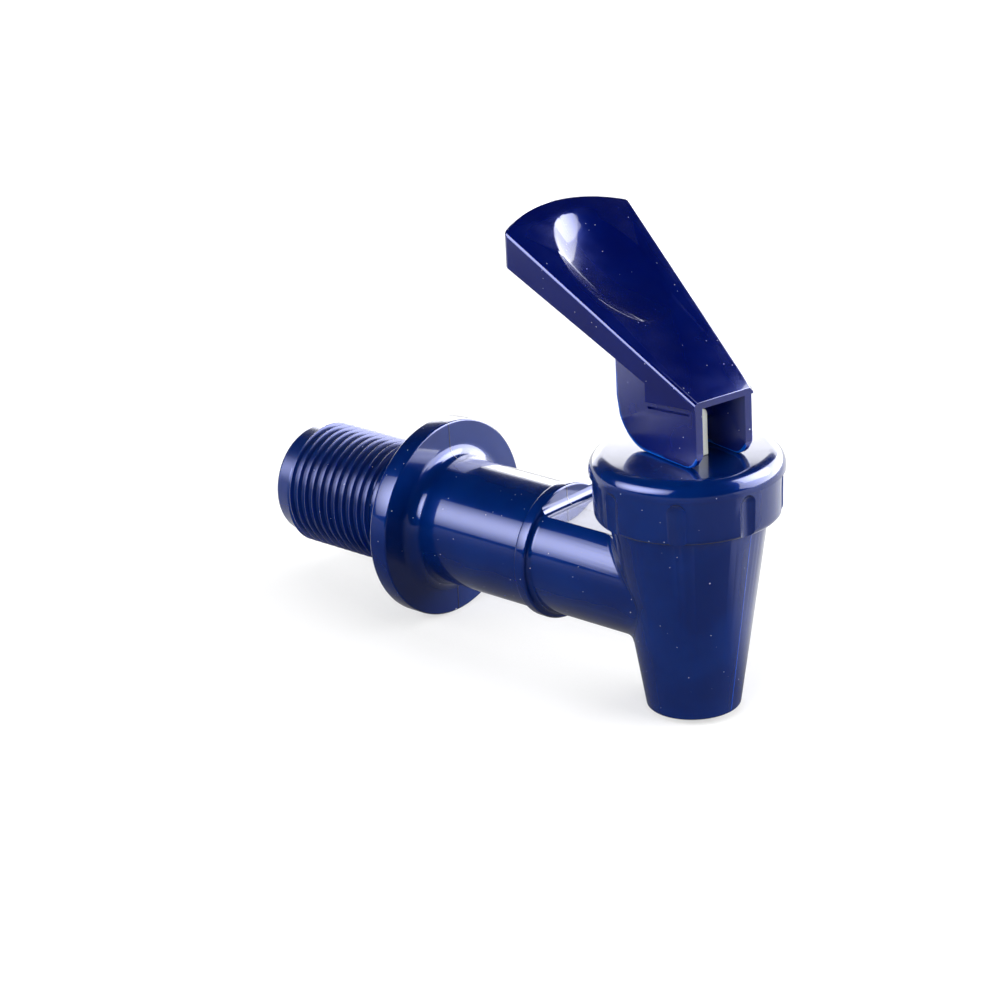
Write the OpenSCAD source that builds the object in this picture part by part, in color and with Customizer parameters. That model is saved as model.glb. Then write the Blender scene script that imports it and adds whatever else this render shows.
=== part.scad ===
// Push-lever tap for a water jug: a moulded body with a threaded shank, a flange and a
// hanging spout, a screw cap, a rocking lever, a lifting stem, a return spring and a seat cup.
// Origin: centre of the flange's rear face, on the shank's axis. The shank points along -X,
// the spout hangs at +X, +Z is up. Lengths are in millimetres.

/* [Shank] */
// Outside diameter of the shank's thread
thread_d = 18; // [17.4:0.1:20]
// Length of the threaded stretch
thread_len = 16.5; // [8:0.5:30]
// Diameter of the plain neck between flange and thread
neck_d = 16.4; // [15:0.1:17]
// Length of the plain neck
neck_len = 6; // [2:0.5:12]
// Diameter of the plain pilot at the shank's end
pilot_d = 16.2; // [15:0.1:17]
// Length of the pilot
pilot_len = 2.6; // [1.5:0.1:6]
// Rounding of the pilot's end edge
pilot_round = 0.5; // [0.2:0.1:1]
// Diameter of the waterway through the shank
inlet_d = 11; // [8:0.5:12]

/* [Flange] */
// Diameter of the flange
flange_d = 28.9; // [24:0.1:36]
// Thickness of the flange
flange_t = 3; // [2:0.1:5]
// Rounding of the flange's rim
flange_round = 0.3; // [0.1:0.1:0.8]
// Radius of the fillet between flange and barrel
flange_fillet = 2; // [0.5:0.1:2.5]

/* [Barrel and collar] */
// Diameter of the barrel in front of the flange
barrel_d = 18.3; // [17.8:0.1:19]
// Length of the barrel, flange to collar
barrel_len = 20.1; // [12:0.1:40]
// Diameter of the collar
collar_d = 19.6; // [19.2:0.1:22]
// Width of the collar
collar_w = 1.9; // [1.2:0.1:4]
// Rounding of the collar's edges
collar_round = 0.35; // [0.1:0.05:0.5]

/* [Arm] */
// Diameter of the arm between collar and spout
arm_d = 17.65; // [16:0.05:18.2]
// Height of the arm's flat top above its axis
arm_flat_z = 7; // [6.6:0.1:8]
// Rounding of the two edges of the flat top
arm_round = 0.4; // [0.2:0.1:1]
// Length of the arm, collar to the spout's axis
arm_len = 21.8; // [18:0.1:40]
// Diameter of the port where the arm opens into the valve chamber
port_d = 10; // [7:0.5:11]

/* [Spout] */
// Depth of the spout's mouth below the shank's axis
spout_drop = 17.3; // [14:0.1:30]
// Outside diameter of the spout's mouth
mouth_d = 13.1; // [12:0.1:15]
// Outside diameter of the spout under the cap
shoulder_d = 21.8; // [21:0.1:23]
// Rounding of the mouth's outer edge
mouth_round = 0.35; // [0.1:0.05:0.5]
// Diameter of the outlet bore
outlet_d = 10.4; // [8:0.1:10.8]
// Length of the straight outlet bore
outlet_len = 8.3; // [5:0.1:9]
// Diameter of the seat's opening
seat_d = 8.4; // [6:0.1:9]
// Depth of the seat's rim below the shank's axis
seat_drop = 6; // [5.6:0.1:7]
// Height of the seat's raised rim
seat_lip = 0.5; // [0.3:0.1:1]
// Width of the seat's raised rim
seat_rim_w = 0.7; // [0.4:0.1:1]
// Diameter of the valve chamber at its floor
chamber_floor_d = 12.6; // [12.4:0.1:13]
// How far the neck inside the cap is set back from the spout's shoulder
neck_step = 0.3; // [0.1:0.1:0.6]
// Wall of the body's neck inside the cap
neck_wall = 1.8; // [1.2:0.1:1.9]

/* [Screw cap] */
// Height of the cap's top above the shank's axis
cap_top_z = 19.8; // [18:0.1:24]
// Height of the cap, skirt edge to top
cap_h = 9.1; // [8:0.1:12]
// Diameter of the cap's skirt under its lip
skirt_d = 25.9; // [25.4:0.1:27]
// How much narrower the skirt is at its lower edge
skirt_taper = 0.3; // [0:0.1:0.8]
// Rounding of the skirt's lower edge
skirt_round = 0.9; // [0.3:0.1:1]
// How far the lip stands out from the skirt
lip_out = 0.4; // [0.2:0.1:0.8]
// Height of the lip's upright rim
lip_h = 0.5; // [0.3:0.1:1.5]
// Rounding of the cap's top edge
cap_round = 2.2; // [1:0.1:2.4]
// Thickness of the cap's top
cap_t = 2.4; // [2:0.1:4]
// Number of grip flutes
flute_n = 8; // [4:1:12]
// Width of a grip flute
flute_w = 2.7; // [1.6:0.1:3.4]
// Depth of a grip flute
flute_depth = 0.6; // [0.2:0.05:0.7]
// Plain band between the flutes and the lip
flute_band = 0.3; // [0.1:0.1:2]
// Direction of the first flute, from +X
flute_turn = -12.6; // [-45:0.1:45]
// Diameter of the boss that centres the spring under the cap
boss_d = 6.8; // [6.6:0.1:7]
// Height of the boss
boss_h = 1.5; // [0.5:0.1:2]

/* [Stem] */
// Diameter of the stem's round shaft
stem_d = 5; // [4:0.1:5.4]
// Length of the stem's flat head, along the lever
head_len = 7.2; // [5:0.1:7.6]
// Thickness of the flat head
head_t = 1.7; // [1.4:0.1:2.6]
// How far the head's round top stands above the pins' axis
head_rise = 1.9; // [1.7:0.1:2.4]
// Height of the lever's pins above the cap's top
pin_h = 4.8; // [4:0.1:5]
// Diameter of the lever's two stub pins, which turn in the stem's cross hole
pin_d = 2.4; // [1.8:0.1:2.6]
// Space between the ends of the two pins
pin_split = 0.4; // [0.2:0.1:1]
// Thickness of the shoulder that the spring pushes on
shoulder_t = 1.2; // [0.8:0.1:2]
// Diameter of the foot held in the seat cup
foot_d = 5.6; // [4.4:0.1:6]
// Thickness of the foot
foot_t = 1.4; // [1:0.1:1.6]
// Diameter of the waist between shoulder and foot
waist_d = 3.6; // [2.4:0.1:4]
// Length of the waist between shoulder and foot
waist_len = 1.6; // [1:0.1:2]

/* [Seat cup] */
// Thickness of the cup's clamped rim
rim_t = 1.5; // [1:0.1:2]
// Thickness of the cup's plug above the seat
plug_t = 4.4; // [4:0.1:5]
// Outside diameter of the cup's sleeve
sleeve_d = 11.8; // [11.4:0.1:12]
// Wall of the sleeve
sleeve_wall = 1; // [0.6:0.1:1.1]
// Length of the straight part of the sleeve
sleeve_len = 10.6; // [6:0.1:12]

/* [Return spring] */
// Wire diameter
wire_d = 0.8; // [0.5:0.05:1]
// Outside diameter of the coils
spring_d = 8.7; // [8.5:0.1:9]
// Number of turns
turns = 9; // [6:1:11]

/* [Lever] */
// How far the lever is swivelled about the stem
lever_swivel = -11.7; // [-30:0.1:30]
// Slope of the lever's top at rest
lever_slope = 28.6; // [20:0.1:35]
// Height of the lever's front edge above the cap's top
lever_front_h = 9.8; // [9:0.1:12]
// Distance from the stem's axis to the lever's front edge
lever_front = 8.2; // [7.6:0.1:10]
// Distance from the stem's axis to the corners of the tip
lever_back = 24.6; // [18:0.1:40]
// Width of the lever's front edge
front_w = 10.1; // [9.8:0.1:12]
// Width across the tip's corners
tip_w = 21.6; // [14:0.1:28]
// How far the tip's arc stands out beyond its corners
tip_bulge = 2.9; // [1:0.1:5]
// Rounding of the tip's two corners, seen from above
tip_round = 0.8; // [0.3:0.1:1.5]
// Thickness of the lever's top plate
plate_t = 1; // [0.8:0.1:1.5]
// Thickness of the lever's side walls
wall_t = 1.15; // [0.8:0.05:1.5]
// Upright depth of the side walls at the tip's corners
tip_depth = 5.1; // [3:0.1:7]
// Upright depth of the side walls above the stem's axis
root_depth = 3.5; // [3:0.1:4.5]
// Depth of the lever's front face
front_depth = 0.95; // [0.8:0.05:1.4]
// Slope of the walls' lower edge in front of the stem
cheek_slope = 3.8; // [0:0.1:6]
// Distance from the stem's axis back to the step in the walls' lower edge
cheek_back = 0.3; // [0:0.1:2]
// Distance between the ears
ear_gap = 7.3; // [7:0.1:8]
// Thickness of an ear
ear_t = 1.15; // [1:0.05:1.2]
// Lift of the stem for one radian of lever travel
lift_rate = 2.8; // [2:0.05:4]
// Distance from the stem's axis to the ears' front edge
ear_front = 8.1; // [7:0.05:8.15]
// Distance from the stem's axis to the ears' rear edge
ear_back = 8.9; // [8.6:0.1:10]
// Rounding of the ears' lower front corner
ear_round = 2.6; // [1:0.1:3]
// Length of the slot in an ear's outer face
slot_len = 8.9; // [4:0.1:9]
// Height of the slot
slot_h = 0.35; // [0.2:0.05:0.8]
// Depth of the slot
slot_depth = 0.5; // [0.2:0.1:0.7]
// Slope of the slot
slot_slope = 7.3; // [0:0.1:10]
// Distance from the stem's axis back to the slot's rear end
slot_back = 2; // [0:0.1:4]
// Height of the slot's rear end above the pins' axis
slot_rise = 1.7; // [1:0.1:2.4]
// Length of the thumb scoop
scoop_len = 23; // [14:0.1:24]
// Width of the thumb scoop
scoop_w = 12.7; // [8:0.1:13]
// Depth of the thumb scoop
scoop_depth = 1.8; // [0.6:0.1:2.4]
// Distance from the tip's corners to the scoop's middle, along the slope
scoop_back = 11.2; // [8:0.1:16]

/* [Fits] */
// Clearance of a moving fit, on the radius
fit = 0.06; // [0.02:0.01:0.1]
// Gap of parts that pass or rest on each other
gap = 0.05; // [0.02:0.01:0.2]

/* [Hidden] */
$fn = 96;
navy = "#10106a";
over = 1;

// Stations along X and the spout's axis
collar_x = flange_t + barrel_len;
arm_x = collar_x + collar_w;
spout_x = arm_x + arm_len;
thread_end_x = -neck_len - thread_len;
shank_end_x = thread_end_x - pilot_len;

// Heights in the spout and the cap
mouth_z = -spout_drop;
seat_z = -seat_drop;
floor_z = seat_z - seat_lip;
cap_edge_z = cap_top_z - cap_h;
ceiling_z = cap_top_z - cap_t;
neck_top_z = ceiling_z - rim_t;
lip_z = cap_top_z - cap_round - lip_h;
body_neck_d = shoulder_d - 2 * neck_step;
chamber_d = body_neck_d - 2 * neck_wall;

// Heights on the stem
pin_z = cap_top_z + pin_h;
head_z = cap_top_z + gap;
plug_top_z = seat_z + plug_t;
shoulder_z = plug_top_z + gap;
spring_z = shoulder_z + shoulder_t;
foot_z = shoulder_z - waist_len - foot_t;
shoulder_disc_d = sleeve_d - 2 * sleeve_wall - 4 * gap;
ear_out = ear_gap / 2 + ear_t;

// Points along an arc about [x, y], from angle a to angle b
function arc(x, y, r, a, b, n = 12) =
    [for (i = [0:n]) [x + r * cos(a + (b - a) * i / n), y + r * sin(a + (b - a) * i / n)]];

// Turns a profile of [radius, station] about the X axis
module turned_x(points) {
    rotate([0, 90, 0]) rotate_extrude() polygon(points);
}

// Turns a profile of [radius, height] about the spout's axis
module turned_z(points) {
    translate([spout_x, 0, 0]) rotate_extrude() polygon(points);
}

// Places what belongs to the lever: origin on the stem's axis at the lever's pins,
// +X to the lever's front, turned with the lever's swivel
module at_lever() {
    translate([spout_x, 0, pin_z]) rotate([0, 0, lever_swivel]) children();
}

// Extrudes a side profile of [x, z] points across the lever, centred on its middle
module across(width) {
    rotate([90, 0, 0]) linear_extrude(width, center = true) children();
}

// Shank, flange, barrel and collar as one turned form
module turned_body() {
    turned_x(concat(
        [[0, shank_end_x]],
        arc(pilot_d / 2 - pilot_round, shank_end_x + pilot_round, pilot_round, -90, 0),
        [[pilot_d / 2, thread_end_x], [thread_d / 2, thread_end_x], [thread_d / 2, -neck_len],
         [neck_d / 2, -neck_len], [neck_d / 2, 0]],
        arc(flange_d / 2 - flange_round, flange_round, flange_round, -90, 0, 6),
        arc(flange_d / 2 - flange_round, flange_t - flange_round, flange_round, 0, 90, 6),
        arc(barrel_d / 2 + flange_fillet, flange_t + flange_fillet, flange_fillet, 270, 180),
        [[barrel_d / 2, collar_x]],
        arc(collar_d / 2 - collar_round, collar_x + collar_round, collar_round, -90, 0, 6),
        arc(collar_d / 2 - collar_round, arm_x - collar_round, collar_round, 0, 90, 6),
        [[0, arm_x]]));
}

// Section of the arm, looking along it: a circle cut by a flat top with rounded edges
module arm_section() {
    r = arm_d / 2;
    edge_z = arm_flat_z - arm_round;
    edge_y = sqrt(pow(r - arm_round, 2) - pow(edge_z, 2));
    edge_a = atan2(edge_z, edge_y);
    polygon(concat(
        arc(edge_y, edge_z, arm_round, edge_a, 90, 8),
        arc(-edge_y, edge_z, arm_round, 90, 180 - edge_a, 8),
        arc(0, 0, r, 180 - edge_a, 360 + edge_a, 72)));
}

module arm() {
    translate([arm_x - over, 0, 0]) rotate([90, 0, 90]) linear_extrude(arm_len + over) arm_section();
}

// Outside of the spout: a cone from the mouth to the shoulder, then the cap's neck
module spout() {
    turned_z(concat(
        [[0, mouth_z]],
        arc(mouth_d / 2 - mouth_round, mouth_z + mouth_round, mouth_round, -90, 0, 6),
        [[shoulder_d / 2, cap_edge_z], [body_neck_d / 2, cap_edge_z + over],
         [body_neck_d / 2, neck_top_z], [0, neck_top_z]]));
}

// Space inside the spout, from the mouth through the seat to the open chamber
module spout_bore() {
    turned_z([
        [0, mouth_z - over], [outlet_d / 2, mouth_z - over], [outlet_d / 2, mouth_z + outlet_len],
        [seat_d / 2, floor_z - over], [seat_d / 2, seat_z], [seat_d / 2 + seat_rim_w, seat_z],
        [seat_d / 2 + seat_rim_w, floor_z], [chamber_floor_d / 2, floor_z],
        [chamber_d / 2, cap_edge_z + over], [chamber_d / 2, neck_top_z + over],
        [0, neck_top_z + over]]);
}

module faucet_body() {
    port_x = spout_x - shoulder_d / 2;
    color(navy) difference() {
        union() {
            turned_body();
            arm();
            spout();
        }
        spout_bore();
        translate([shank_end_x - over, 0, 0]) rotate([0, 90, 0])
            cylinder(d = inlet_d, h = port_x - shank_end_x + over);
        translate([port_x - over, 0, 0]) rotate([0, 90, 0])
            cylinder(d = port_d, h = spout_x - port_x + over);
    }
}

// Grip flute: a shallow upright groove with a round top, open at the skirt's edge
module flute() {
    flute_r = (pow(flute_w / 2, 2) + pow(flute_depth, 2)) / (2 * flute_depth);
    flute_top = lip_z - flute_band - flute_w / 2;
    translate([skirt_d / 2 - skirt_taper / 4 - flute_depth + flute_r, 0, 0]) {
        translate([0, 0, cap_edge_z - over]) cylinder(r = flute_r, h = flute_top - cap_edge_z + over);
        translate([0, 0, flute_top]) sphere(r = flute_r);
    }
}

module bonnet_cap() {
    lip_r = skirt_d / 2 + lip_out;
    low_r = (skirt_d - skirt_taper) / 2;
    color(navy) difference() {
        turned_z(concat(
            [[0, cap_top_z]],
            arc(lip_r - cap_round, cap_top_z - cap_round, cap_round, 90, 0),
            [[lip_r, lip_z], [skirt_d / 2, lip_z]],
            arc(low_r - skirt_round, cap_edge_z + skirt_round, skirt_round, 0, -90, 6),
            [[shoulder_d / 2 + gap, cap_edge_z], [shoulder_d / 2 + gap, cap_edge_z + 2 * over],
             [body_neck_d / 2 + fit, cap_edge_z + 2 * over], [body_neck_d / 2 + fit, ceiling_z],
             [boss_d / 2, ceiling_z], [boss_d / 2, ceiling_z - boss_h], [0, ceiling_z - boss_h]]));
        translate([spout_x, 0, ceiling_z - boss_h - over])
            cylinder(r = stem_d / 2 + fit, h = cap_t + boss_h + 2 * over);
        translate([spout_x, 0, 0]) for (i = [0:flute_n - 1])
            rotate([0, 0, flute_turn + i * 360 / flute_n]) flute();
    }
}

// Silicone cup: a plug on the seat, a thin sleeve round the spring and a rim under the cap
module seat_cup() {
    sleeve_r = sleeve_d / 2;
    bend_z = plug_top_z + sleeve_len;
    flare_r = chamber_d / 2 - gap;
    color("#e8e4dc") difference() {
        turned_z([
            [0, seat_z], [sleeve_r, seat_z], [sleeve_r, bend_z], [flare_r, neck_top_z],
            [body_neck_d / 2, neck_top_z], [body_neck_d / 2, ceiling_z],
            [flare_r - sleeve_wall, ceiling_z], [sleeve_r - sleeve_wall, bend_z],
            [sleeve_r - sleeve_wall, plug_top_z], [0, plug_top_z]]);
        turned_z([
            [0, foot_z - gap], [foot_d / 2 + gap, foot_z - gap],
            [foot_d / 2 + gap, foot_z + foot_t + gap], [waist_d / 2 + gap, foot_z + foot_t + gap],
            [waist_d / 2 + gap, plug_top_z + over], [0, plug_top_z + over]]);
    }
}

// Compression coil with closed ends, between the stem's shoulder and the cap
module return_spring() {
    coil_r = (spring_d - wire_d) / 2;
    low = spring_z + wire_d / 2;
    high = ceiling_z - wire_d / 2 - gap;
    pitch = (high - low - 2 * wire_d) / (turns - 2);
    steps = 20;
    sides = 8;
    count = turns * steps;
    rings = [for (i = [0:count]) let(t = i / steps) [
        t * 360,
        t < 1 ? low + t * wire_d
            : t > turns - 1 ? high - (turns - t) * wire_d : low + wire_d + (t - 1) * pitch]];
    points = [for (ring = rings) for (k = [0:sides - 1])
        let(a = k * 360 / sides, r = coil_r + wire_d / 2 * cos(a))
        [r * cos(ring[0]), r * sin(ring[0]), ring[1] + wire_d / 2 * sin(a)]];
    walls = [for (i = [0:count - 1]) for (k = [0:sides - 1]) let(n = (k + 1) % sides)
        [i * sides + k, (i + 1) * sides + k, (i + 1) * sides + n, i * sides + n]];
    ends = [[for (k = [0:sides - 1]) k], [for (k = [sides - 1:-1:0]) count * sides + k]];
    color("#b8bcc0") translate([spout_x, 0, 0]) rotate([0, 0, lever_swivel])
        polyhedron(points, concat(walls, ends), convexity = 10);
}

// Flat head of the stem, seen along the lever: upright sides and a full round top
module head_section() {
    r = head_t / 2;
    polygon(concat(
        [[-r, head_z - pin_z], [r, head_z - pin_z]],
        arc(0, head_rise - r, r, 0, 180)));
}

// Stem with a cross-drilled flat head, a shoulder for the spring and a foot in the cup
module valve_stem() {
    color("#e6e8da") difference() {
        union() {
            turned_z([
                [0, foot_z], [foot_d / 2, foot_z], [foot_d / 2, foot_z + foot_t],
                [waist_d / 2, foot_z + foot_t], [waist_d / 2, shoulder_z],
                [shoulder_disc_d / 2, shoulder_z], [shoulder_disc_d / 2, spring_z],
                [stem_d / 2, spring_z], [stem_d / 2, head_z], [0, head_z]]);
            at_lever() rotate([90, 0, 90]) linear_extrude(head_len, center = true) head_section();
        }
        at_lever() rotate([90, 0, 0]) cylinder(r = pin_d / 2 + fit, h = 2 * head_t, center = true);
    }
}

// Upright height of the lever's top above the pins, at distance x
function lever_top(x) = lever_front_h - pin_h + (lever_front - x) * tan(lever_slope);

// Height of the side walls' lower edge above the pins, at distance x
function wall_low(x) =
    lever_top(x) - root_depth - (tip_depth - root_depth) * -x / lever_back;

// Outline of the lever from above, drawn in by inset: flared sides, an arc at the tip
// and a round corner that touches both
module lever_plan(inset = 0) {
    tip_r = (pow(tip_w / 2, 2) + pow(tip_bulge, 2)) / (2 * tip_bulge);
    tip_x = -lever_back - tip_bulge + tip_r;
    flare = atan2((tip_w - front_w) / 2, lever_front + lever_back);
    front_y = front_w / 2 - inset / cos(flare) + inset * tan(flare);
    corner_r = max(tip_round - inset, tip_round / 4);
    reach = tip_r - inset - corner_r;
    side_d = front_w / 2 * cos(flare) + (lever_front - tip_x) * sin(flare) - inset - corner_r;
    corner_a = 180 - flare - asin(side_d / reach);
    corner_x = tip_x + reach * cos(corner_a);
    corner_y = reach * sin(corner_a);
    polygon(concat(
        [[lever_front - inset, front_y]],
        arc(corner_x, corner_y, corner_r, 90 - flare, corner_a, 6),
        arc(tip_x, 0, tip_r - inset, corner_a, 360 - corner_a, 16),
        arc(corner_x, -corner_y, corner_r, 360 - corner_a, 270 + flare, 6),
        [[lever_front - inset, -front_y]]));
}

// Lens that scoops the top: a shallow spindle turned about an axis along the lever
module scoop(grow = 0) {
    axis_h = (pow(scoop_w / 2, 2) - pow(scoop_depth, 2)) / (2 * scoop_depth);
    deep_r = axis_h + scoop_depth;
    bow_r = (pow(scoop_len / 2, 2) + pow(scoop_depth, 2)) / (2 * scoop_depth);
    reach = asin((scoop_len / 2 + 2 * grow) / bow_r);
    mid_x = -lever_back + scoop_back * cos(lever_slope);
    wide_r = bow_r + grow;
    translate([mid_x, 0, lever_top(mid_x)]) rotate([0, lever_slope, 0])
        translate([0, 0, axis_h]) rotate([0, 90, 0]) rotate_extrude()
            polygon(concat(
                [[0, -wide_r * sin(reach)]],
                arc(deep_r - bow_r, 0, wide_r, -reach, reach, 24),
                [[0, wide_r * sin(reach)]]));
}

// Side profile of the shell: sloping top, tapered side walls, step and front ledge
module shell_side() {
    far = lever_back + tip_bulge + over;
    ledge_z = lever_front_h - pin_h - front_depth;
    polygon([
        [lever_front, lever_top(lever_front)], [-far, lever_top(-far)],
        [-far, wall_low(-far)], [-cheek_back, wall_low(-cheek_back)],
        [-cheek_back, ledge_z - (lever_front + cheek_back) * tan(cheek_slope)],
        [lever_front, ledge_z]]);
}

// Hollow shell of the lever; under the scoop the plate keeps its thickness
module lever_shell() {
    deep = 3 * lever_front_h;
    far = 2 * lever_back;
    roof = plate_t / cos(lever_slope);
    difference() {
        intersection() {
            translate([0, 0, -deep]) linear_extrude(4 * deep) lever_plan();
            across(2 * tip_w) shell_side();
        }
        difference() {
            intersection() {
                translate([0, 0, -deep]) linear_extrude(4 * deep) lever_plan(wall_t);
                across(2 * tip_w) polygon([
                    [lever_front, lever_top(lever_front) - roof], [-far, lever_top(-far) - roof],
                    [-far, -deep], [lever_front, -deep]]);
            }
            scoop(plate_t);
        }
        scoop();
    }
}

// Outline of an ear: flat on the cap, an involute heel that lifts the stem evenly,
// an upright back and front, and a rounded toe
module ear_side() {
    foot = pin_h - gap;
    heel_end = 65;
    polygon(concat(
        [for (a = [0:5:heel_end])
            let(p = foot + lift_rate * a * PI / 180)
            [-p * sin(a) - lift_rate * cos(a), -p * cos(a) + lift_rate * sin(a)]],
        [[-ear_back, head_rise], [-ear_back, lever_top(-ear_back) - plate_t],
         [ear_front, lever_top(ear_front) - plate_t]],
        arc(ear_front - ear_round, ear_round - foot, ear_round, 0, -90, 8)));
}

module ear(side) {
    difference() {
        translate([0, side * (ear_gap + ear_t) / 2, 0]) across(ear_t) ear_side();
        translate([-slot_back, side * ear_out, slot_rise]) rotate([0, -slot_slope, 0])
            translate([0, -slot_depth, 0]) cube([slot_len, 2 * slot_depth, slot_h]);
    }
}

// Stub pin on an ear's inner face, reaching almost to the middle of the stem's head
module pin(side) {
    translate([0, side * (ear_gap + pin_split + ear_t) / 4, 0]) rotate([90, 0, 0])
        cylinder(d = pin_d, h = (ear_gap - pin_split + ear_t) / 2, center = true);
}

module lever_handle() {
    color(navy) at_lever() union() {
        lever_shell();
        for (side = [1, -1]) {
            ear(side);
            pin(side);
        }
    }
}

faucet_body();
bonnet_cap();
seat_cup();
return_spring();
valve_stem();
lever_handle();
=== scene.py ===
# %% [markdown]
# # A push-lever tap for a water jug
# The imported CAD model is the frame: its nodes sit where the drawing puts them, in metres.
# This script dresses them. Each piece of the real tap is an injection moulding, so most
# pieces start from a merged copy of the CAD solid, get the small edge radii that a mould
# leaves, and then a plastic with real gloss, dust and moulding marks, and with painted shade
# and painted glow at its seam, its thin rims and the lever's tones.

# %% load the frame
import math

import bmesh
import bpy
from mathutils import Matrix, Vector


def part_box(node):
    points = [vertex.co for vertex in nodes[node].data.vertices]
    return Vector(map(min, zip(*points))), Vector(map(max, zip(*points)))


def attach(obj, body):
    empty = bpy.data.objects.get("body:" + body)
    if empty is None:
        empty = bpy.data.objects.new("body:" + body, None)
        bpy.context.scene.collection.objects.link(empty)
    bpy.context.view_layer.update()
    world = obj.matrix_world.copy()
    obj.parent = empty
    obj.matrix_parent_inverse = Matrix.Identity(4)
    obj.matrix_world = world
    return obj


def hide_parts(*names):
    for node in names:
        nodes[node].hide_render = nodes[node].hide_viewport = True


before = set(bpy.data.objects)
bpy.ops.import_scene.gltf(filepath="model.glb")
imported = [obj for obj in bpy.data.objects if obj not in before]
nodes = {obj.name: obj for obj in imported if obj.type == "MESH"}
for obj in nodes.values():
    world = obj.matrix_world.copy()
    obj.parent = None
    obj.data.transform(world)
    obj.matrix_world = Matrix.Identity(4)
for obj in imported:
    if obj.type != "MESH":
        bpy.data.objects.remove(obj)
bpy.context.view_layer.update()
print("nodes", sorted(nodes))

# %% [markdown]
# ## Driving sizes
# Everything is placed from the frame's own boxes and a handful of real sizes. The spout's
# axis is the middle of the cap, the lever turns about that axis, and the shank runs along X.

# %% driving sizes
MM = 0.001
cap_low, cap_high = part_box("bonnet_cap")
stem_low, stem_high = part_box("valve_stem")
body_low, body_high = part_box("faucet_body")
spout_x = (cap_low.x + cap_high.x) / 2
cap_top = cap_high.z
thread_outer_r = 9.0 * MM
thread_root_r = 8.28 * MM
thread_pitch = 1.5 * MM
thread_front_x = -6.0 * MM
thread_rear_x = -22.5 * MM
flange_r = body_high.y
arm_front_x = 25.0 * MM
arm_r = 8.825 * MM
arm_flat_z = 7.0 * MM
mouth_r = 6.55 * MM
shoulder_r = 10.9 * MM
lever_turn = math.radians(-11.7)
lever_slope = math.radians(28.6)
lever_axis_z = cap_top + 4.8 * MM
print("spout axis x", round(spout_x, 4), "cap top", round(cap_top, 4))
print("stem from", round(stem_low.z, 4), "to", round(stem_high.z, 4))

# %% [markdown]
# ## The camera
# The photograph was solved for its camera: it looks down at 21 degrees, from the front left,
# with a long lens, and it is rolled a little because the tap leans back on its flange. The
# turn, lift and roll become three axes, and the axes become the camera's matrix.

# %% camera
VIEW_TURN = math.radians(42.80462)
VIEW_LIFT = math.radians(21.22120)
VIEW_ROLL = math.radians(-2.88120)
FOCAL_PX = 3612.663
PICTURE_PX = 1001
SENSOR_MM = 36.0
camera_place = Vector((0.337003, -0.350563, 0.190207))


def camera_axes(turn, lift, roll):
    level = math.cos(lift)
    back = Vector((math.sin(turn) * level, -math.cos(turn) * level, math.sin(lift)))
    right = Vector((math.cos(turn), math.sin(turn), 0))
    up = back.cross(right)
    rolled_right = math.cos(roll) * right + math.sin(roll) * up
    rolled_up = -math.sin(roll) * right + math.cos(roll) * up
    return rolled_right, rolled_up, back


lens = bpy.data.cameras.new("view")
lens.sensor_width = SENSOR_MM
lens.lens = SENSOR_MM * FOCAL_PX / PICTURE_PX
lens.clip_start = 0.01
lens.clip_end = 20
camera = bpy.data.objects.new("view", lens)
aim = Matrix(camera_axes(VIEW_TURN, VIEW_LIFT, VIEW_ROLL)).transposed().to_4x4()
camera.matrix_world = Matrix.Translation(camera_place) @ aim
bpy.context.scene.collection.objects.link(camera)
bpy.context.scene.camera = camera
print("lens", round(lens.lens, 2), "mm")

# %% [markdown]
# ## Small helpers for materials
# One function turns a hex colour into the linear values that the shader works in, and one
# adds a node with its settings and its links. The others are that second function for what
# comes back often: a soft ramp, an operation on two values, a dot product or a distance, a
# blend of two colours, and a new material with the Object coordinates that its patterns use.

# %% colour and node helpers
def colour(text):
    parts = [int(text[i:i + 2], 16) / 255 for i in (1, 3, 5)]
    linear = [p / 12.92 if p <= 0.04045 else ((p + 0.055) / 1.055) ** 2.4 for p in parts]
    return (*linear, 1)


def add_node(tree, kind, inputs=None, **settings):
    node = tree.nodes.new(kind)
    for name, value in settings.items():
        setattr(node, name, value)
    for name, value in (inputs or {}).items():
        if isinstance(value, bpy.types.NodeSocket):
            tree.links.new(value, node.inputs[name])
        else:
            node.inputs[name].default_value = value
    return node


def ramp(tree, value, low, high, start=0.0, end=1.0):
    node = add_node(tree, "ShaderNodeMapRange",
                    {"Value": value, "From Min": low, "From Max": high,
                     "To Min": start, "To Max": end}, interpolation_type="SMOOTHSTEP")
    return node.outputs["Result"]


def combine(tree, operation, first, second):
    node = add_node(tree, "ShaderNodeMath", {0: first, 1: second}, operation=operation)
    return node.outputs["Value"]


def measure(tree, operation, place, other):
    node = add_node(tree, "ShaderNodeVectorMath", {0: place, 1: other}, operation=operation)
    return node.outputs["Value"]


def blend(tree, share, first, second):
    node = add_node(tree, "ShaderNodeMix", {"Factor": share, 6: first, 7: second},
                    data_type="RGBA")
    return node.outputs[2]


def new_material(name):
    material = bpy.data.materials.new(name)
    material.use_nodes = True
    material.node_tree.nodes.clear()
    place = add_node(material.node_tree, "ShaderNodeTexCoord").outputs["Object"]
    return material, material.node_tree, place


print("navy in linear values", [round(v, 4) for v in colour("#001f5c")])

# %% [markdown]
# ## Dust
# The charge on plastic holds white dust. A Voronoi texture scatters points through space, and
# where the surface passes close to one there is a grain. Its random colour picks the share of
# points that hold one. Real grains are about 0.05 mm wide: these are drawn coarser, to show.

# %% dust
FINE_DUST = {"spacing": 0.95 * MM, "size": 0.08 * MM, "share": 0.3}
COARSE_DUST = {"spacing": 3.1 * MM, "size": 0.13 * MM, "share": 0.35}


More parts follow.
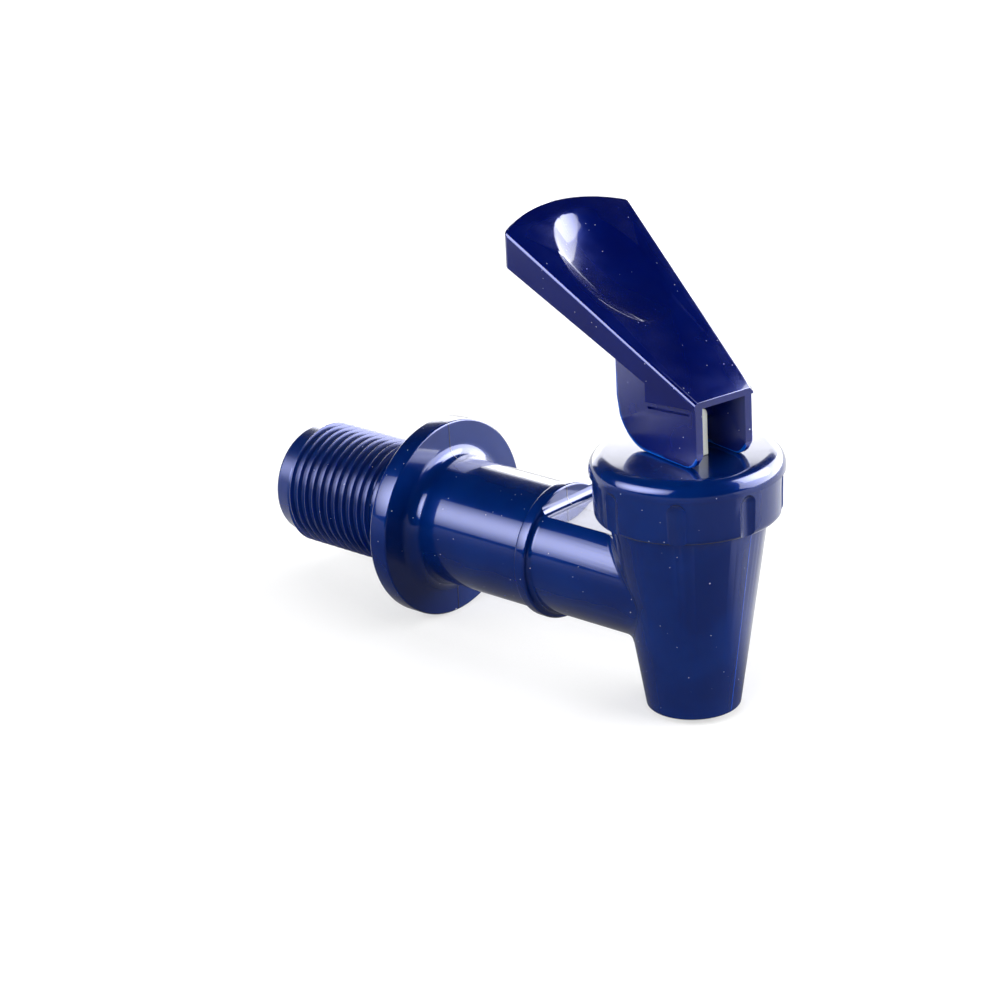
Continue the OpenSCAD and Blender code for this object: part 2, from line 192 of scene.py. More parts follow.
def dust_mask(tree, place, spacing, size, share):
    cells = add_node(tree, "ShaderNodeTexVoronoi",
                     {"Vector": place, "Scale": 1 / spacing, "Randomness": 1.0})
    pick = add_node(tree, "ShaderNodeSeparateColor", {"Color": cells.outputs["Color"]})
    near = ramp(tree, cells.outputs["Distance"], size / spacing, 0.6 * size / spacing)
    chosen = combine(tree, "GREATER_THAN", pick.outputs["Red"], 1 - share)
    return combine(tree, "MULTIPLY", near, chosen)


print("dust, fine and coarse, spacing in mm",
      [round(d["spacing"] / MM, 2) for d in (FINE_DUST, COARSE_DUST)])

# %% [markdown]
# ## The mould's seam, with painted shade and glow
# The two halves of the mould meet in the plane y = 0 and leave a fine line all round the body.
# It is a mask on the distance from that plane. Along the top the line is painted dark, a painted
# shade for its groove, and at the spout's front, where the wall is thin, it is painted a brighter
# blue, a painted glow for the light that comes through it.

# %% the mould's seam
SEAM_PAINTED_LINE_WIDTH = 0.14 * MM
SEAM_RIDGE_WIDTH = 0.16 * MM


def seam_mask(tree, place, width):
    axis = add_node(tree, "ShaderNodeSeparateXYZ", {"Vector": place})
    away = add_node(tree, "ShaderNodeMath", {0: axis.outputs["Y"]}, operation="ABSOLUTE")
    return ramp(tree, away.outputs["Value"], width, 0.2 * width)


def seam_painted_shade_and_glow(tree, place, tone):
    axis = add_node(tree, "ShaderNodeSeparateXYZ", {"Vector": place})
    front = ramp(tree, axis.outputs["X"], spout_x + 4 * MM, spout_x + 6 * MM)
    # painted shade in the seam's groove, and at the spout's front a painted glow of light through
    # the thin wall
    line = blend(tree, front, colour("#00041c"), colour("#083c9c"))
    return blend(tree, seam_mask(tree, place, SEAM_PAINTED_LINE_WIDTH), tone, line)


print("seam", round(SEAM_PAINTED_LINE_WIDTH / MM, 2), "mm wide")

# %% [markdown]
# ## Thin edges: a painted glow
# The lever's ears are 1.15 mm thick, and at their rims the light passes through the plastic,
# so a bright blue line is painted there, a painted glow for that light. Ambient occlusion turned
# inwards measures how much plastic lies behind a point. Two slanted limits keep the line off the
# blade and off the slot.

# %% thin edges
THIN_REACH = 0.7 * MM
BLADE_LIMIT = {"rise": math.tan(lever_slope), "level": 2.8 * MM, "soft": 0.3 * MM}
SLOT_LIMIT = {"rise": 1.0, "level": -3.5 * MM, "soft": 0.5 * MM}


def below_line(tree, place, rise, level, soft):
    ahead = rise * math.cos(lever_turn)
    height = measure(tree, "DOT_PRODUCT", place, (ahead, rise * math.sin(lever_turn), 1))
    limit = lever_axis_z + ahead * spout_x + level
    return ramp(tree, height, limit + soft, limit)


def painted_edge_glow_tone(tree, place, tone):
    zone = combine(tree, "MULTIPLY", below_line(tree, place, **BLADE_LIMIT),
                   below_line(tree, place, **SLOT_LIMIT))
    wall = add_node(tree, "ShaderNodeAmbientOcclusion", {"Distance": THIN_REACH},
                    samples=8, inside=True, only_local=True)
    lit = combine(tree, "MULTIPLY", zone, ramp(tree, wall.outputs["AO"], 0.96, 0.72))
    # painted glow: a bright blue blended in where little plastic lies behind the rim
    return blend(tree, lit, tone, colour("#0a60c4"))


print("light reaches", round(THIN_REACH / MM, 2), "mm in from the ears' rims")

# %% [markdown]
# ## The moulded plastic
# Polypropylene coloured in the mass with a deep navy. Two navy tones change in clouds about
# 11 mm wide, a very slight waviness about 4 mm long moves the mirror images, and the gloss
# varies over 2.5 mm. A clear coat gives the sharp mirror images of a polished mould, over a
# softer blue gloss, and a little light enters the plastic and comes out bluer.

# %% the moulded plastic
CLOUDS_PER_M = 90.0
WAVES_PER_M = 260.0
GLOSS_PATCHES_PER_M = 400.0
DUST_STRENGTH = 0.8
DUST_COLOUR = "#c9c9dc"


def plastic_relief(tree, place, dust, seam):
    wave = add_node(tree, "ShaderNodeTexNoise",
                    {"Vector": place, "Scale": WAVES_PER_M, "Detail": 1.0})
    waves = add_node(tree, "ShaderNodeBump",
                     {"Height": wave.outputs["Fac"], "Strength": 0.06, "Distance": 0.05 * MM})
    grains = add_node(tree, "ShaderNodeBump",
                      {"Height": dust, "Strength": 0.5, "Distance": 0.03 * MM,
                       "Normal": waves.outputs["Normal"]})
    if not seam:
        return grains.outputs["Normal"]
    ridge_line = add_node(tree, "ShaderNodeBump",
                          {"Height": seam_mask(tree, place, SEAM_RIDGE_WIDTH), "Strength": 0.55,
                           "Distance": 0.08 * MM, "Normal": grains.outputs["Normal"]})
    return ridge_line.outputs["Normal"]


def navy_plastic(name, shades, polish, marks=None, seam=False):
    material, tree, place = new_material(name)
    cloud = add_node(tree, "ShaderNodeTexNoise",
                     {"Vector": place, "Scale": CLOUDS_PER_M, "Detail": 3.0})
    shade, deep = shades
    tone = blend(tree, ramp(tree, cloud.outputs["Fac"], 0.35, 0.65), colour(deep), colour(shade))
    if marks:
        tone = marks(tree, place, tone)
    dust = combine(tree, "MAXIMUM", dust_mask(tree, place, **FINE_DUST),
                   dust_mask(tree, place, **COARSE_DUST))
    faint = combine(tree, "MULTIPLY", dust, DUST_STRENGTH)
    rough = add_node(tree, "ShaderNodeTexNoise",
                     {"Vector": place, "Scale": GLOSS_PATCHES_PER_M, "Detail": 4.0})
    shader = add_node(tree, "ShaderNodeBsdfPrincipled",
                      {"Base Color": blend(tree, faint, tone, colour(DUST_COLOUR)),
                       "Normal": plastic_relief(tree, place, dust, seam),
                       "Roughness": ramp(tree, rough.outputs["Fac"], 0.3, 0.7, 0.17, 0.25),
                       "IOR": 1.5, "Specular IOR Level": 0.5, "Specular Tint": colour("#1e5cff"),
                       "Coat Weight": 1.0, "Coat Roughness": polish, "Coat IOR": 1.5,
                       "Subsurface Weight": 0.15, "Subsurface Scale": 1.2 * MM,
                       "Subsurface Radius": (0.15, 0.5, 1.5)})
    add_node(tree, "ShaderNodeOutputMaterial", {"Surface": shader.outputs["BSDF"]})
    return material


print("plastic with clouds of", round(1000 / CLOUDS_PER_M, 1), "mm")

# %% [markdown]
# ## Seven finishes of one plastic
# All pieces are the same navy, so one function makes them all. The polish is the coat's
# roughness: low on the body and the cap's dome, higher where fingers grip, on the skirt, the
# thread and the lever's sides. The lever's tones are deeper, a painted shade for its sloping top,
# its flat sides are a little lighter, a painted light, and its thin edges are a bright blue,
# a painted glow.

# %% seven finishes of one plastic
NAVY = ("#001f5c", "#001850")
# the lever's deeper tones paint the shade on its sloping top; its sides' lighter tones paint the
# light they catch
LEVER_NAVY_PAINTED_SHADE = ("#000c50", "#000848")
SIDE_NAVY_PAINTED_LIGHT = ("#001058", "#000c50")
PAINTED_GLOW_NAVY = ("#0850b8", "#04449c")
navy_seam_with_painted_line = navy_plastic("navy_polypropylene_body", NAVY, 0.06, seam_painted_shade_and_glow, seam=True)
navy_plain = navy_plastic("navy_polypropylene", NAVY, 0.06)
navy_deep = navy_plastic("navy_polypropylene_lever", LEVER_NAVY_PAINTED_SHADE, 0.05)
navy_satin = navy_plastic("navy_polypropylene_satin", NAVY, 0.26)
navy_grip = navy_plastic("navy_polypropylene_grip", NAVY, 0.17)
navy_side = navy_plastic("navy_polypropylene_side", SIDE_NAVY_PAINTED_LIGHT, 0.26, painted_edge_glow_tone)
# painted glow of light through the ears' thin rims, a brighter blue on their bevels
navy_painted_glow = navy_plastic("navy_polypropylene_painted_glow", PAINTED_GLOW_NAVY, 0.1)
plastics = (navy_seam_with_painted_line, navy_plain, navy_deep, navy_satin, navy_grip, navy_side, navy_painted_glow)
print("plastics", [plastic.name for plastic in plastics])

# %% [markdown]
# ## Milky plastic and silicone
# The stem is natural acetal: milky, faintly green, and soft at its edges because light enters
# it. The seat cup is silicone, duller and warmer. Both are one function with their own shade,
# roughness and depth of light, and a mottle of about 3 mm that also moves the surface.

# %% milky plastic and silicone
MOTTLES_PER_M = 350.0
MILK_COLOUR = "#f2f1e6"


def milky(name, shade, roughness, depth):
    material, tree, place = new_material(name)
    cloud = add_node(tree, "ShaderNodeTexNoise",
                     {"Vector": place, "Scale": MOTTLES_PER_M, "Detail": 4.0})
    tone = blend(tree, cloud.outputs["Fac"], colour(shade), colour(MILK_COLOUR))
    skin = add_node(tree, "ShaderNodeBump",
                    {"Height": cloud.outputs["Fac"], "Strength": 0.08, "Distance": 0.05 * MM})
    shader = add_node(tree, "ShaderNodeBsdfPrincipled",
                      {"Base Color": tone, "Normal": skin.outputs["Normal"],
                       "Roughness": roughness, "IOR": 1.48, "Subsurface Weight": 0.6,
                       "Subsurface Scale": depth, "Subsurface Radius": (1.0, 0.9, 0.7)})
    add_node(tree, "ShaderNodeOutputMaterial", {"Surface": shader.outputs["BSDF"]})
    return material


acetal = milky("natural_acetal", "#dfe4cf", 0.3, 2.0 * MM)
silicone = milky("soft_silicone", "#e4dfd2", 0.5, 1.2 * MM)
print("milky materials", acetal.name, silicone.name)

# %% [markdown]
# ## Spring wire
# The spring is drawn stainless wire. Drawing leaves marks about half a millimetre long, which
# show as a change of gloss, so the noise goes to the roughness and the metal keeps its colour.

# %% spring wire
DRAW_MARKS_PER_M = 1800.0


def drawn_wire(name):
    material, tree, place = new_material(name)
    draw = add_node(tree, "ShaderNodeTexNoise",
                    {"Vector": place, "Scale": DRAW_MARKS_PER_M, "Detail": 3.0})
    shader = add_node(tree, "ShaderNodeBsdfPrincipled",
                      {"Base Color": colour("#b9bcc2"), "Metallic": 1.0,
                       "Roughness": ramp(tree, draw.outputs["Fac"], 0.3, 0.7, 0.18, 0.34)})
    add_node(tree, "ShaderNodeOutputMaterial", {"Surface": shader.outputs["BSDF"]})
    return material


wire = drawn_wire("drawn_stainless_wire")
print("wire", wire.name)

# %% [markdown]
# ## From CAD solid to moulding
# A CAD node arrives as loose triangles. A merged copy with its flat faces joined takes a
# clean bevel, and the edge radius of a few tenths of a millimetre is what catches the light on
# a real moulding. Smooth shading with sharp corners kept does the rest.

# %% from CAD solid to moulding
MERGE_DISTANCE = 0.002 * MM
FLAT_ANGLE = math.radians(0.4)
SHARP_ANGLE = math.radians(17)


def merged_copy(node):
    form = bmesh.new()
    form.from_mesh(nodes[node].data)
    bmesh.ops.remove_doubles(form, verts=form.verts, dist=MERGE_DISTANCE)
    bmesh.ops.dissolve_limit(form, angle_limit=FLAT_ANGLE, verts=form.verts, edges=form.edges)
    return form


def finish_piece(form, name, body, node, material):
    mesh = bpy.data.meshes.new(name)
    form.to_mesh(mesh)
    form.free()
    piece = bpy.data.objects.new(name, mesh)
    bpy.context.scene.collection.objects.link(piece)
    mesh.materials.append(material)
    mesh.shade_smooth()
    mesh.set_sharp_from_angle(angle=SHARP_ANGLE)
    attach(piece, body)
    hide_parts(node)
    print(name, len(mesh.vertices), "vertices", len(mesh.polygons), "faces")
    return piece


def round_edges(piece, width, corner):
    bevel = piece.modifiers.new("mould_radius", "BEVEL")
    bevel.width = width
    bevel.segments = 3
    bevel.limit_method = "ANGLE"
    bevel.angle_limit = math.radians(corner)
    bevel.use_clamp_overlap = True
    bevel.harden_normals = True


def add_finish(piece, material, chosen):
    piece.data.materials.append(material)
    faces = [face for face in piece.data.polygons if chosen(face)]
    for face in faces:
        face.material_index = len(piece.data.materials) - 1
    print(material.name, "on", len(faces), "faces of", piece.name)


print("edges sharper than", round(math.degrees(SHARP_ANGLE)), "degrees stay sharp")

# %% [markdown]
# ## The body's shank
# The drawing carries the thread as a plain round at its outside diameter. On the body's copy
# that round is drawn in to just over the pilot, and the thread goes round it as its own form.

# %% body with its shank drawn in
NEAR_END = 0.01 * MM
NEAR_ROUND = 0.02 * MM
core_r = 8.22 * MM


def on_thread_round(vert):
    r = math.hypot(vert.co.y, vert.co.z)
    between = thread_rear_x - NEAR_END < vert.co.x < thread_front_x + NEAR_END
    return between and abs(r - thread_outer_r) < NEAR_ROUND


def draw_in(vert, reach):
    vert.co.y *= reach
    vert.co.z *= reach


body_form = merged_copy("faucet_body")
round_verts = [vert for vert in body_form.verts if on_thread_round(vert)]
for vert in round_verts:
    draw_in(vert, core_r / thread_outer_r)
print("shank points drawn in", len(round_verts))

# %% [markdown]
# ## Rounded inner corners: the paths
# Where the arm runs into the spout and out of the collar, the mould has a rounded inner corner
# that the drawing leaves sharp. Each is the strip that a small ball touches while it rolls
# along the corner. A path gives the ball's centre and the directions from it to both walls:
# round the arm at the tapered spout, round the arm at the collar, and across the arm's flat.

# %% rounded inner corners, the paths
ARC_START = 60
ARC_SWEEP = 300
FLAT_WIDTH = 10.6 * MM


def round_the_arm(share):
    angle = math.radians(ARC_START - ARC_SWEEP * share)
    return Vector((0, math.cos(angle), math.sin(angle)))


def along_spout(share, radius):
    outward = round_the_arm(share)
    centre = (arm_r + radius) * outward
    grow = (shoulder_r - mouth_r) / (cap_low.z - body_low.z)
    slant = math.hypot(1, grow)
    reach = mouth_r + grow * (centre.z - body_low.z) + radius * slant
    centre.x = spout_x - math.sqrt(reach ** 2 - centre.y ** 2)
    away = Vector((centre.x - spout_x, centre.y, 0)).normalized()
    return centre, -outward, Vector((-away.x, -away.y, grow)) / slant


def along_collar(share, radius):
    outward = round_the_arm(share)
    centre = (arm_r + radius) * outward + Vector((arm_front_x + radius, 0, 0))
    return centre, -outward, Vector((-1, 0, 0))


def along_flat(share, radius):
    centre = Vector((arm_front_x + radius, (0.5 - share) * FLAT_WIDTH, arm_flat_z + radius))
    return centre, Vector((0, 0, -1)), Vector((-1, 0, 0))


print("the arm's corner runs over", ARC_SWEEP, "degrees")

# %% [markdown]
# ## Rounded inner corners: the strips
# A grid is bent into the strip and closed with a back row inside the body, so that it is a
# closed form of its own. It could be a bevel on the body, but the two walls meet in a curve
# of many short edges, where a wide bevel folds over itself. Each row of the table names a
# path, the ball's radius, the steps along the path and the height that cuts the strip off.

# %% rounded inner corners, the strips
CORNER_ROWS = 12
BACK_DEPTH = 1.12
NO_CUT = 1.0
CORNERS = (("spout", along_spout, 1.6 * MM, 120, arm_flat_z),
           ("collar", along_collar, 0.6 * MM, 120, arm_flat_z),
           ("flat", along_flat, 1.3 * MM, 8, NO_CUT))


def all_of(form):
    return form.verts[:] + form.edges[:] + form.faces[:]


def open_edges(form):
    return [edge for edge in form.edges if edge.is_boundary]


def inner_corner(path, radius, steps, cut_z):
    form = bmesh.new()
    rows = CORNER_ROWS + 2
    bmesh.ops.create_grid(form, x_segments=steps, y_segments=rows, size=1)
    for vert in form.verts:
        centre, to_arm, to_wall = path((vert.co.x + 1) / 2, radius)
        row = round((vert.co.y + 1) / 2 * rows) % rows
        way = to_arm.slerp(to_wall, min(row / CORNER_ROWS, 1))
        if row > CORNER_ROWS:
            way = BACK_DEPTH * (to_arm + to_wall) / (1 + to_arm.dot(to_wall))
        vert.co = centre + radius * way
    bmesh.ops.remove_doubles(form, verts=form.verts, dist=0.001 * MM)
    bmesh.ops.bisect_plane(form, geom=all_of(form), dist=1e-7, plane_co=(0, 0, cut_z),
                           plane_no=(0, 0, 1), clear_outer=True)
    bmesh.ops.holes_fill(form, edges=open_edges(form))
    bmesh.ops.recalc_face_normals(form, faces=form.faces)
    return form


def join_to_body(form, name):
    mesh = bpy.data.meshes.new(name)
    form.to_mesh(mesh)
    form.free()
    body_form.from_mesh(mesh)
    bpy.data.meshes.remove(mesh)


for title, path, radius, steps, cut_z in CORNERS:
    corner = inner_corner(path, radius, steps, cut_z)
    print(title, "corner faces", len(corner.faces), "open edges", len(open_edges(corner)),
          "volume mm3", round(corner.calc_volume(signed=True) / MM ** 3, 2))
    join_to_body(corner, "inner_corner")

# %% [markdown]
# ## The thread
# A real helix: one pitch of ridge and valley, spun round the shank while it moves along it.
# Each turn's last row meets the next turn's first row, so merging makes one skin. Two cuts
# square to the shank end it, and the ends are turned inwards and joined, which closes it.

# %% the thread
RIDGE_SHAPE = ((0.0, 0.0), (0.26, 0.0), (0.38, 0.15), (0.46, 0.75), (0.51, 0.97), (0.55, 1.0),
               (0.59, 0.97), (0.64, 0.75), (0.72, 0.15), (0.84, 0.0), (1.0, 0.0))
STEPS_PER_TURN = 72
SPARE_TURNS = 3
END_DEPTH = 0.12 * MM


def thread_form():
    form = bmesh.new()
    start = thread_rear_x - 2 * thread_pitch
    depth = thread_outer_r - thread_root_r
    row = [form.verts.new((start + thread_pitch * along, 0, thread_root_r + depth * height))
           for along, height in RIDGE_SHAPE]
    edges = [form.edges.new(pair) for pair in zip(row, row[1:])]
    turns = round((thread_front_x - thread_rear_x) / thread_pitch) + SPARE_TURNS
    bmesh.ops.spin(form, geom=row + edges, cent=(0, 0, 0), axis=(1, 0, 0),
                   dvec=(thread_pitch / STEPS_PER_TURN, 0, 0), angle=turns * 2 * math.pi,
                   steps=turns * STEPS_PER_TURN, use_merge=False, use_normal_flip=False,
                   use_duplicate=False)
    bmesh.ops.remove_doubles(form, verts=form.verts, dist=0.004 * MM)
    for x, outward in ((thread_rear_x, -1), (thread_front_x, 1)):
        bmesh.ops.bisect_plane(form, geom=all_of(form), dist=1e-7, plane_co=(x, 0, 0),
                               plane_no=(outward, 0, 0), clear_outer=True, clear_inner=False)
    return form


def close_ends(form):
    turned = bmesh.ops.extrude_edge_only(form, edges=open_edges(form))["geom"]
    for vert in [v for v in turned if isinstance(v, bmesh.types.BMVert)]:
        draw_in(vert, (core_r - END_DEPTH) / math.hypot(vert.co.y, vert.co.z))
    bmesh.ops.bridge_loops(form, edges=open_edges(form))
    bmesh.ops.recalc_face_normals(form, faces=form.faces)


ridge = thread_form()
close_ends(ridge)
print("thread faces", len(ridge.faces), "open edges", len(open_edges(ridge)))
join_to_body(ridge, "thread")

# %% [markdown]
# ## The body
# The solid's copy, the rounded corners and the thread are one moulding, so they are one piece.
# The shank takes the duller finish up to the thread's end, as its streaks in the photograph are
# blurred. It is a second material on those faces, which needs no cut in the form.

# %% the body
def on_shank(face):
    return face.center.x < thread_front_x + NEAR_END


body = finish_piece(body_form, "moulded_body", "housing", "faucet_body", navy_seam_with_painted_line)
add_finish(body, navy_satin, on_shank)

# %% [markdown]
# ## The cap
# It keeps the drawing's shape and takes a small radius on its corners. Its dome is polished
# and its skirt, where the fingers turn it, is duller.

# %% the cap
SKIRT_TOP = 2.75 * MM
SKIRT_INNER_R = 11.5 * MM


def on_skirt(face):
    out = math.hypot(face.center.x - spout_x, face.center.y)
    return face.center.z < cap_top - SKIRT_TOP and out > SKIRT_INNER_R


cap = finish_piece(merged_copy("bonnet_cap"), "screw_cap", "housing", "bonnet_cap",
                   navy_plain)
round_edges(cap, 0.1 * MM, 28)
add_finish(cap, navy_grip, on_skirt)

# %% [markdown]
# ## The lever's corners
# On a lever the radii differ: wide round the top where the thumb slides, small round the ears.
# So its corners are found by where they are and how they face, in the lever's own directions.
# The slot's corners and the pins' stay sharp.

# %% the lever's corners
CORNER_ANGLE = math.radians(32)
to_lever = Matrix.Rotation(-lever_turn, 4, "Z") @ Matrix.Translation((-spout_x, 0, -lever_axis_z))
lever_frame = Matrix.Rotation(lever_turn, 3, "Z")
top_way = lever_frame @ Vector((math.sin(lever_slope), 0, math.cos(lever_slope)))
forward_way = lever_frame @ Vector((1, 0, 0))
across_way = lever_frame @ Vector((0, 1, 0))


def on_lever(edge):
    return to_lever @ ((edge.verts[0].co + edge.verts[1].co) / 2)


def is_corner(edge):
    return (len(edge.link_faces) == 2 and edge.is_convex
            and edge.calc_face_angle() > CORNER_ANGLE)


def faces_front(edge):
    return max(f.normal.dot(forward_way) for f in edge.link_faces) > 0.9


def on_top_outline(edge):
    level = sorted(f.normal.dot(top_way) for f in edge.link_faces)
    return level[1] > 0.999 and level[0] < 0.6


def on_ear_outline(edge):
    place = on_lever(edge)
    side = max(abs(f.normal.dot(across_way)) for f in edge.link_faces)
    low_or_rear = place.z < 2.6 * MM or -10 * MM < place.x < -7 * MM
    in_slot = -2.3 * MM < place.x < 7.2 * MM and 1.5 * MM < place.z < 3.2 * MM
    around_pin = math.hypot(place.x, place.z) < 1.6 * MM
    return (side > 0.99 and low_or_rear and abs(place.y) < 5 * MM
            and not in_slot and not around_pin)


def round_outline(form, outline, front, width, segments, material=-1, clamp=True):
    edges = [e for e in form.edges if is_corner(e) and outline(e) and faces_front(e) == front]
    made = bmesh.ops.bevel(form, geom=edges, offset=width, offset_type="OFFSET",
                           segments=segments, profile=0.5, affect="EDGES", material=material,
                           clamp_overlap=clamp)
    print("rounded", len(edges), "edges to", round(width / MM, 2), "mm:",
          len(made["faces"]), "faces")


print("lever turned", round(math.degrees(lever_turn), 1), "degrees")

# %% [markdown]
# ## The lever
# The radii are cut one outline after the other. The ears' rims are cut in the second finish,
# a bright blue that paints the glow of light coming through them, and the flat outer sides take
# the third, a lighter tone that paints the light they catch, with a painted glow near their rims.

# %% the lever
PAINTED_GLOW_SLOT = 1
EAR_SIDE = 3.5 * MM


def on_side(face):
    return (abs(face.normal.dot(across_way)) > 0.99
            and abs((to_lever @ face.center).y) > EAR_SIDE)


lever_form = merged_copy("lever_handle")
round_outline(lever_form, on_top_outline, False, 0.6 * MM, 4)
round_outline(lever_form, on_top_outline, True, 0.55 * MM, 5)
# the ears' rear and lower rims take the brighter blue that paints their glow
round_outline(lever_form, on_ear_outline, False, 0.3 * MM, 3, material=PAINTED_GLOW_SLOT, clamp=False)
round_outline(lever_form, on_ear_outline, True, 0.3 * MM, 3)
lever = finish_piece(lever_form, "thumb_lever", "lever", "lever_handle", navy_deep)
lever.data.materials.append(navy_painted_glow)
add_finish(lever, navy_side, on_side)

# %% [markdown]
# ## The stem
# It stays as drawn, with a small radius on its square corners.

# %% the stem
stem = finish_piece(merged_copy("valve_stem"), "valve_stem_moulded", "stem", "valve_stem",
                    acetal)
round_edges(stem, 0.15 * MM, 50)

# %% [markdown]
# ## The cup and the spring
# Both are hidden in the valve and seen only from under the spout. Their solids are right as
# they are, so they only take their finish.

# %% cup and spring
for node, material in (("seat_cup", silicone), ("return_spring", wire)):
    mesh = nodes[node].data
    mesh.materials.clear()
    mesh.materials.append(material)
    print(node, "takes", material.name)

# %% [markdown]
# ## The floor's plane
# Laid down, the tap leans back until its flange and the rear edge of its mouth touch the
# table. The floor is that plane, so it is tilted against the drawing's frame.

# %% the floor's plane
FLANGE_TOUCH_X = 2.7 * MM
MOUTH_TOUCH_R = 6.2 * MM
FLOOR_REACH = 1.5
touch_rear = Vector((FLANGE_TOUCH_X, 0, -flange_r))
touch_front = Vector((spout_x - MOUTH_TOUCH_R, 0, body_low.z))
lean = math.atan2(touch_front.z - touch_rear.z, touch_front.x - touch_rear.x)
floor_form = bmesh.new()
bmesh.ops.create_grid(floor_form, x_segments=2, y_segments=2, size=FLOOR_REACH)
tilt = Matrix.Translation(touch_front) @ Matrix.Rotation(-lean, 4, "Y")
bmesh.ops.transform(floor_form, matrix=tilt, verts=floor_form.verts)
floor_mesh = bpy.data.meshes.new("floor")
floor_form.to_mesh(floor_mesh)
floor_form.free()
floor = bpy.data.objects.new("floor", floor_mesh)
bpy.context.scene.collection.objects.link(floor)
print("lean", round(math.degrees(lean), 2), "degrees")

# %% [markdown]
# ## The floor's paper
# Seen directly the paper is white, with a little painted shade where the tap stands close: part of
# it glows, and ambient occlusion lowers the glow near the tap. Mirrored in the plastic it is pale
# behind the tap and at its right, and dark in front, painted light and painted shade for where
# light reached the paper and where none did. For light that only bounces it is grey, so that it
# doesn't fill the plastic's dark places, and nearer the tap its grey and its share of glow are
# lower, a painted shade round the tap.

# %% the floor's paper
TO_CAMERA_SIDE = (0.68, -0.73, 0)
PAPER_SHADE_REACH = 0.045


def paper_lit_share(tree, place):
    # painted light and shade: the paper's glow share for mirrored rays, high behind and right of
    # the tap, low in front
    front = measure(tree, "DOT_PRODUCT", place, TO_CAMERA_SIDE)
    side = add_node(tree, "ShaderNodeSeparateXYZ", {"Vector": place}).outputs["Y"]
    return combine(tree, "MAXIMUM", ramp(tree, front, -0.02, 0.01, 0.7, 0.05),
                   ramp(tree, side, 0.005, 0.035, 0.05, 0.6))


def white_paper(name):
    material, tree, place = new_material(name)
    seen = add_node(tree, "ShaderNodeLightPath").outputs
    direct = combine(tree, "MAXIMUM", seen["Is Camera Ray"], seen["Is Transmission Ray"])
    mirrored = combine(tree, "MULTIPLY", seen["Is Glossy Ray"], paper_lit_share(tree, place))
    share = combine(tree, "MAXIMUM", direct, mirrored)
    # painted shade near the tap: less glow and a darker grey close to it
    away = measure(tree, "DISTANCE", place, (spout_x / 2, 0, body_low.z))
    glowing = combine(tree, "MULTIPLY", share, ramp(tree, away, 0.2, 0.6, 0.5, 1.0))
    grey = blend(tree, ramp(tree, away, 0.05, 0.16), colour("#5c5c5e"), colour("#8a8a8c"))
    sheet = add_node(tree, "ShaderNodeBsdfDiffuse",
                     {"Color": blend(tree, share, grey, colour("#f8f8f8"))})
    # painted shadow: ambient occlusion lowers the glow where the tap stands close
    open_sky = add_node(tree, "ShaderNodeAmbientOcclusion", {"Distance": PAPER_SHADE_REACH},
                        samples=8)
    glow = add_node(tree, "ShaderNodeEmission",
                    {"Color": (1, 1, 1, 1),
                     "Strength": ramp(tree, open_sky.outputs["AO"], 0.3, 1.0, 0.9, 1.52)})
    both = add_node(tree, "ShaderNodeMixShader", {0: glowing, 1: sheet.outputs["BSDF"],
                                                  2: glow.outputs["Emission"]})
    add_node(tree, "ShaderNodeOutputMaterial", {"Surface": both.outputs["Shader"]})
    return material


floor_mesh.materials.append(white_paper("white_paper"))
print("floor material", floor_mesh.materials[0].name)

# %% [markdown]
# ## The light
# The pale streaks on the plastic are mirror images of the studio, so they tell where its lamps
# stood: a wide soft box to the left, a large one turned on its corner to the right, and a lit
# paper backdrop. Overhead and behind the camera it was dark, which keeps the lever's sloping
# top deep blue. Each lamp is written as the direction, the angles and the brightness that the
# tap sees, and its size and power follow from the distance. The first four are the ones that
# the gloss mirrors, softer towards their rims. The last three light the plastic's own colour.

# %% light
STUDIO_MIDDLE = Vector((spout_x / 2, 0, cap_top / 2))


def soften_rim(light, rim):
    light.use_nodes = True
    tree = light.node_tree
    tree.nodes.clear()
    spot = add_node(tree, "ShaderNodeNewGeometry").outputs["Parametric"]
    out = measure(tree, "DISTANCE", spot, (0.5, 0.5, 0))
    glow = add_node(tree, "ShaderNodeEmission", {"Strength": ramp(tree, out, 0.1, 0.7, 1.3, rim)})
    add_node(tree, "ShaderNodeOutputLight", {"Surface": glow.outputs["Emission"]})


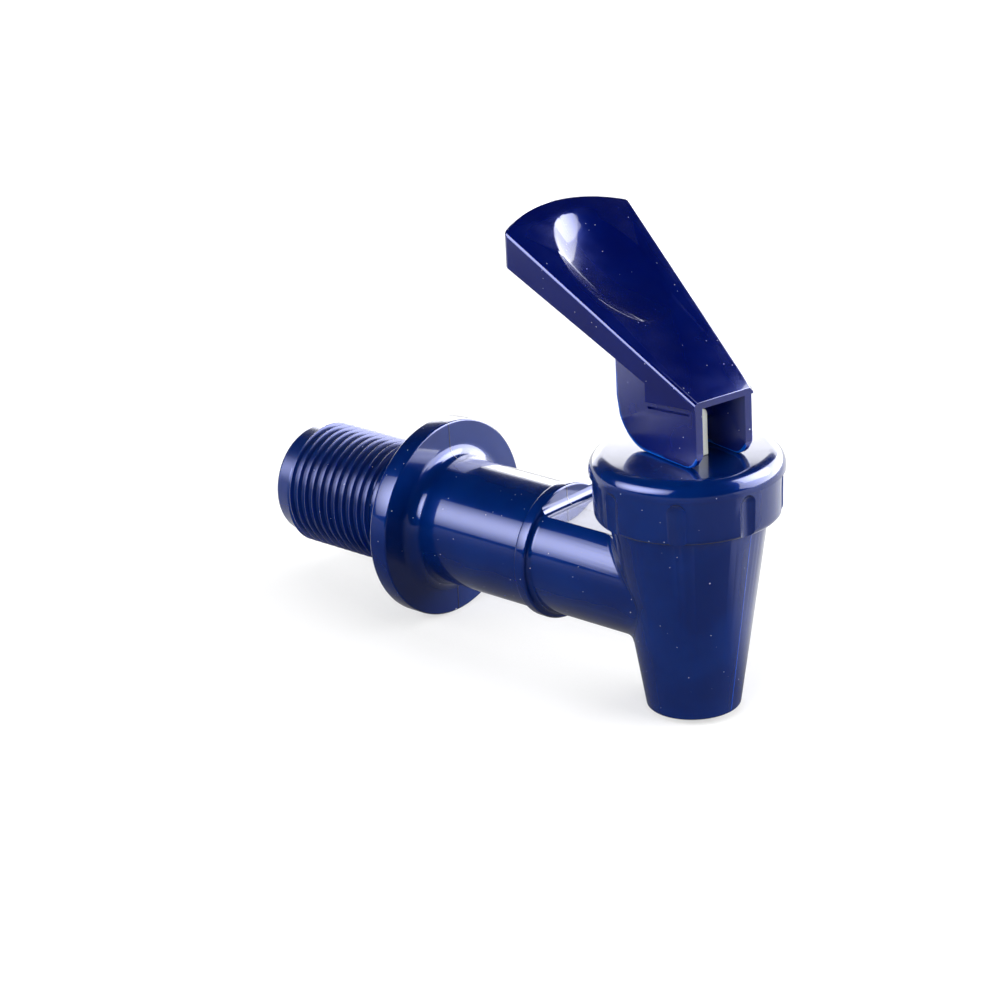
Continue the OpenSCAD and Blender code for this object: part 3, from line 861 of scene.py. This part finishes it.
def soft_lamp(name, azimuth, height, wide, tall, roll, radiance, mirrored,
              rim=0.6, distance=0.8):
    light = bpy.data.lights.new(name, "AREA")
    light.shape = "RECTANGLE"
    light.size = 2 * distance * math.tan(math.radians(wide / 2))
    light.size_y = 2 * distance * math.tan(math.radians(tall / 2))
    light.energy = radiance * math.pi * light.size * light.size_y
    if mirrored:
        soften_rim(light, rim)
    turn, lift = math.radians(azimuth), math.radians(height)
    level = math.cos(lift)
    way = Vector((level * math.cos(turn), level * math.sin(turn), math.sin(lift)))
    rolled = Matrix.Rotation(math.radians(roll), 3, "Z")
    facing = way.to_track_quat("Z", "Y").to_matrix() @ rolled
    lamp = bpy.data.objects.new(name, light)
    lamp.matrix_world = Matrix.Translation(STUDIO_MIDDLE + distance * way) @ facing.to_4x4()
    lamp.visible_glossy = mirrored
    lamp.visible_diffuse = not mirrored
    bpy.context.scene.collection.objects.link(lamp)
    print(name, round(light.size, 2), "x", round(light.size_y, 2), "m",
          round(light.energy, 1), "W")


soft_lamp("left_soft_box", -108, 30, 66, 39, 12, 8.4, mirrored=True, rim=0.15)
soft_lamp("right_soft_box", 56, 16, 78, 67, -36, 7.0, mirrored=True)
soft_lamp("right_soft_box_core", 52, 37, 38, 34, -36, 7.0, mirrored=True, distance=0.75)
soft_lamp("paper_backdrop", 128, 9, 76, 30, 0, 3.6, mirrored=True)
soft_lamp("left_light", -105, 26, 80, 30, 0, 6.0, mirrored=False)
soft_lamp("right_light", 46, 14, 80, 30, 0, 9.5, mirrored=False)
soft_lamp("front_light", -52, 10, 60, 18, 0, 3.0, mirrored=False)

# %% [markdown]
# ## The background
# The photograph's background is plain white, while the studio round the tap was dark apart
# from its lamps. The world tells the two apart: a ray from the camera sees white, and a ray
# that bounces finds almost nothing.

# %% background and view
DARK_STUDIO = 0.015


def white_tent():
    world = bpy.data.worlds.new("white_tent")
    world.use_nodes = True
    tree = world.node_tree
    tree.nodes.clear()
    seen = add_node(tree, "ShaderNodeLightPath").outputs
    plain = combine(tree, "MAXIMUM", seen["Is Camera Ray"], seen["Is Transmission Ray"])
    light = add_node(tree, "ShaderNodeBackground",
                     {"Color": (1, 1, 1, 1), "Strength": ramp(tree, plain, 0, 1, DARK_STUDIO, 1.0)})
    add_node(tree, "ShaderNodeOutputWorld", {"Surface": light.outputs["Background"]})
    return world


bpy.context.scene.world = white_tent()
bpy.context.scene.view_settings.view_transform = "Standard"
